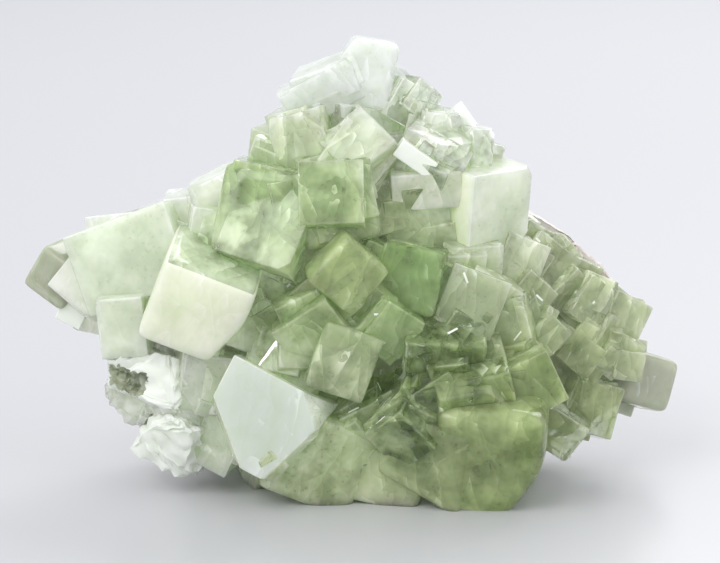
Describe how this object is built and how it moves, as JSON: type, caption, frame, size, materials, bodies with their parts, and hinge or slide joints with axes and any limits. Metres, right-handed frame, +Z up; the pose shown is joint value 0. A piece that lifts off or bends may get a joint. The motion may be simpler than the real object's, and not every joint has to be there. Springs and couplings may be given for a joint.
{
  "type": "fluorite specimen",
  "caption": "Cluster of green see-through cube-shaped fluorite crystals grown together on a thin crust of pale rock, standing on a flat base.",
  "frame": {"origin": "on the floor, at the middle of the specimen's box", "axes": "+Z up, +X to the right along the specimen's length, -Y towards the viewer, who sees the crystals"},
  "size_m": [0.1416, 0.0562, 0.0966],
  "materials": {
    "fluorite": "see-through green crystal with glossy, frosted and broken white faces",
    "rock": "rough broken rock"
  },
  "bodies": {
    "root": {"fluorite_crystals": "fluorite", "rock_crust": "rock"}
  },
  "joints": []
}
